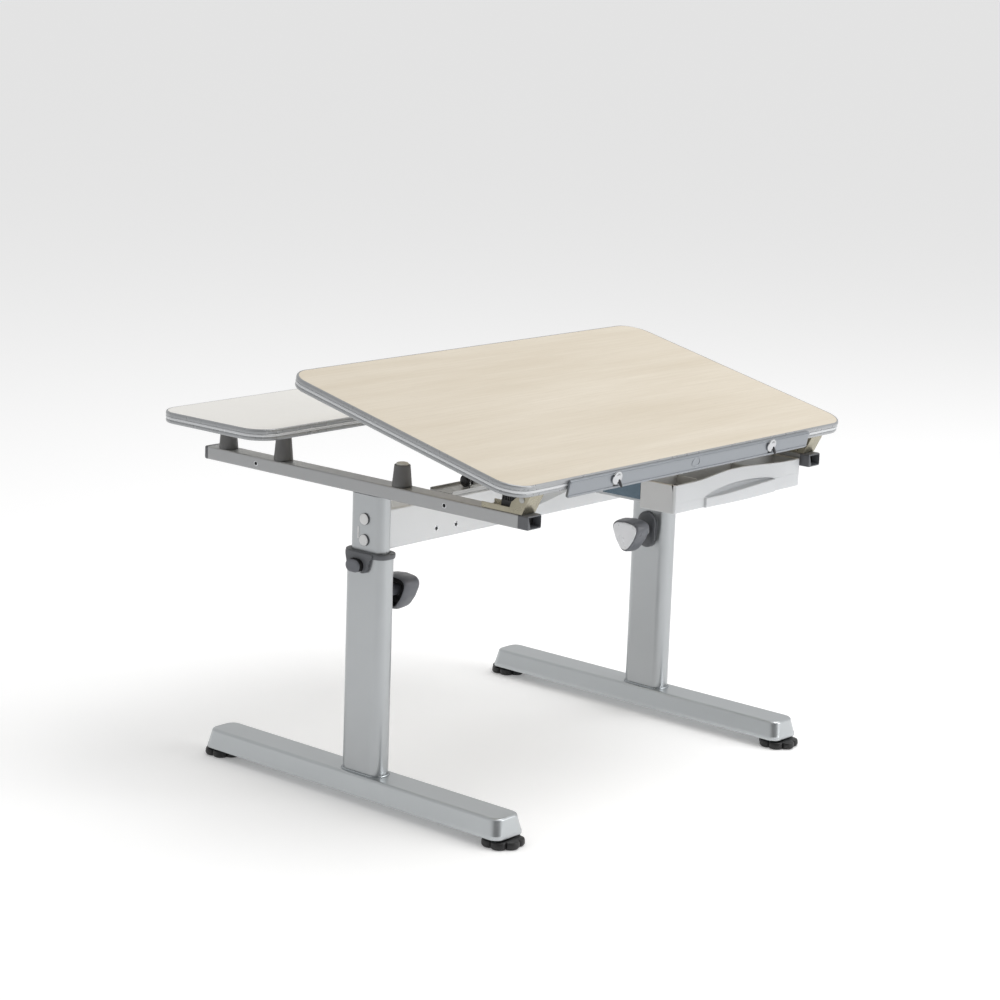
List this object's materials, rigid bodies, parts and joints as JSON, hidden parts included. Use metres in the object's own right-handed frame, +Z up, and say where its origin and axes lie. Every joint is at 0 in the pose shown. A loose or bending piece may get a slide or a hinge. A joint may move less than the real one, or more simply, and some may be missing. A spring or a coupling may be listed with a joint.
{
  "type": "drafting table",
  "caption": "Height-adjustable drafting desk with a tilting top, fixed rear shelf, paper ledge and side-hung pencil drawer.",
  "frame": {"origin": "middle of the bounding box's bottom face, on the floor, in the rest pose", "axes": "+X to the right of a person seated at the front, +Y to the rear, +Z up"},
  "size_m": [0.8, 0.7327, 0.6275],
  "materials": {
    "silver_paint": "satin silver paint",
    "pale_paint": "satin pale grey paint",
    "rail_paint": "satin grey paint",
    "grey_plastic": "matt dark grey",
    "spacer_plastic": "matt dark grey",
    "black_plastic": "matt black",
    "cap_plastic": "off-white",
    "tray_plastic": "light grey",
    "zinc": "yellowish zinc plate",
    "slide_steel": "bluish zinc plate",
    "ledge_aluminium": "satin grey",
    "chrome": "bright",
    "maple_laminate": "pale laminate on board",
    "white_laminate": "white laminate on board",
    "edge_band": "grey"
  },
  "bodies": {
    "base": {"foot_left": "silver_paint", "lower_column_left": "silver_paint", "collar_left": "grey_plastic", "knob_base_left": "grey_plastic", "foot_right": "silver_paint", "lower_column_right": "silver_paint", "collar_right": "grey_plastic", "knob_base_right": "grey_plastic"},
    "upper_frame": {"upper_column_left": "silver_paint", "bolt_cap_lower_left": "cap_plastic", "bolt_cap_upper_left": "cap_plastic", "side_rail_left": "rail_paint", "rail_plug_left": "grey_plastic", "shelf_spacer_front_left": "spacer_plastic", "shelf_spacer_rear_left": "spacer_plastic", "rest_bumper_left": "spacer_plastic", "hinge_bracket_left": "zinc", "slide_bracket_left": "pale_paint", "slide_outer_left": "slide_steel", "upper_column_right": "silver_paint", "bolt_cap_lower_right": "cap_plastic", "bolt_cap_upper_right": "cap_plastic", "side_rail_right": "rail_paint", "rail_plug_right": "grey_plastic", "shelf_spacer_front_right": "spacer_plastic", "shelf_spacer_rear_right": "spacer_plastic", "rest_bumper_right": "spacer_plastic", "hinge_bracket_right": "zinc", "slide_bracket_right": "pale_paint", "slide_outer_right": "slide_steel", "crossbeam": "pale_paint", "tilt_base": "zinc", "rear_shelf": "white_laminate", "shelf_edge_band": "edge_band"},
    "tilt_top": {"hinge_leaf_left": "zinc", "hinge_leaf_right": "zinc", "tilting_top": "maple_laminate", "top_edge_band": "edge_band", "tilt_top_rail": "zinc"},
    "lower_support": {"lower_support_arm_left": "zinc", "lower_support_arm_right": "zinc", "support_cross_rod": "zinc"},
    "upper_support": {"upper_support_arm_left": "zinc", "upper_support_arm_right": "zinc"},
    "ledge": {"paper_ledge": "ledge_aluminium"},
    "drawer": {"drawer_tray": "tray_plastic", "slide_inner_left": "slide_steel", "slide_inner_right": "slide_steel"},
    "slide_middles": {"slide_middle_left": "slide_steel", "slide_middle_right": "slide_steel"},
    "leveler_front_left": {"leveler_front_left": "black_plastic"},
    "leveler_rear_left": {"leveler_rear_left": "black_plastic"},
    "button_left": {"collar_button_left": "grey_plastic"},
    "knob_left": {"locking_knob_left": "grey_plastic"},
    "thumbscrew_left": {"thumbscrew_left": "chrome"},
    "leveler_front_right": {"leveler_front_right": "black_plastic"},
    "leveler_rear_right": {"leveler_rear_right": "black_plastic"},
    "button_right": {"collar_button_right": "grey_plastic"},
    "knob_right": {"locking_knob_right": "grey_plastic"},
    "thumbscrew_right": {"thumbscrew_right": "chrome"}
  },
  "joints": [
    {"name": "leveler_front_left_spin", "type": "hinge", "parent": "base", "child": "leveler_front_left", "pos_m": [-0.336, -0.2976, 0], "axis": [0, 0, 1], "continuous": true},
    {"name": "leveler_rear_left_spin", "type": "hinge", "parent": "base", "child": "leveler_rear_left", "pos_m": [-0.336, 0.2704, 0], "axis": [0, 0, 1], "continuous": true},
    {"name": "button_left_press", "type": "slide", "parent": "base", "child": "button_left", "axis": [1, 0, 0], "range_m": [0, 0.002], "stiffness_N_per_m": 600},
    {"name": "knob_left_spin", "type": "hinge", "parent": "base", "child": "knob_left", "pos_m": [-0.29, -0.0296, 0.305], "axis": [1, 0, 0], "continuous": true},
    {"name": "leveler_front_right_spin", "type": "hinge", "parent": "base", "child": "leveler_front_right", "pos_m": [0.336, -0.2976, 0], "axis": [0, 0, 1], "continuous": true},
    {"name": "leveler_rear_right_spin", "type": "hinge", "parent": "base", "child": "leveler_rear_right", "pos_m": [0.336, 0.2704, 0], "axis": [0, 0, 1], "continuous": true},
    {"name": "button_right_press", "type": "slide", "parent": "base", "child": "button_right", "axis": [-1, 0, 0], "range_m": [0, 0.002], "stiffness_N_per_m": 600},
    {"name": "knob_right_spin", "type": "hinge", "parent": "base", "child": "knob_right", "pos_m": [0.29, -0.0296, 0.305], "axis": [1, 0, 0], "continuous": true},
    {"name": "height_slide", "type": "slide", "parent": "base", "child": "upper_frame", "axis": [0, 0, 1], "range_m": [0, 0.186]},
    {"name": "tilt", "type": "hinge", "parent": "upper_frame", "child": "tilt_top", "pos_m": [0, -0.3226, 0.502], "axis": [1, 0, 0], "range_deg": [-12.9, 22.1]},
    {"name": "lower_support_swing", "type": "hinge", "parent": "upper_frame", "child": "lower_support", "pos_m": [0, -0.0336, 0.453], "axis": [1, 0, 0], "range_deg": [-5.8, 3.4]},
    {"name": "upper_support_swing", "type": "hinge", "parent": "tilt_top", "child": "upper_support", "pos_m": [0, -0.04621, 0.56735], "axis": [1, 0, 0], "range_deg": [-4, 6.8]},
    {"name": "ledge_slide", "type": "slide", "parent": "tilt_top", "child": "ledge", "axis": [0, -0.2233, 0.9748], "range_m": [0, 0.012]},
    {"name": "thumbscrew_left_spin", "type": "hinge", "parent": "tilt_top", "child": "thumbscrew_left", "pos_m": [-0.186, -0.34873, 0.51756], "axis": [0, -0.9748, -0.2233], "continuous": true},
    {"name": "thumbscrew_right_spin", "type": "hinge", "parent": "tilt_top", "child": "thumbscrew_right", "pos_m": [0.186, -0.34873, 0.51756], "axis": [0, -0.9748, -0.2233], "continuous": true},
    {"name": "drawer_slide", "type": "slide", "parent": "upper_frame", "child": "drawer", "axis": [0, -1, 0], "range_m": [0, 0.12]},
    {"name": "slide_middle_travel", "type": "slide", "parent": "upper_frame", "child": "slide_middles", "axis": [0, -1, 0], "range_m": [0, 0.06]}
  ],
  "couplings": [
    {"joint": "lower_support_swing", "follows": "tilt", "ratio": -0.26},
    {"joint": "upper_support_swing", "follows": "tilt", "ratio": 0.305},
    {"joint": "slide_middle_travel", "follows": "drawer_slide", "ratio": 0.5}
  ]
}
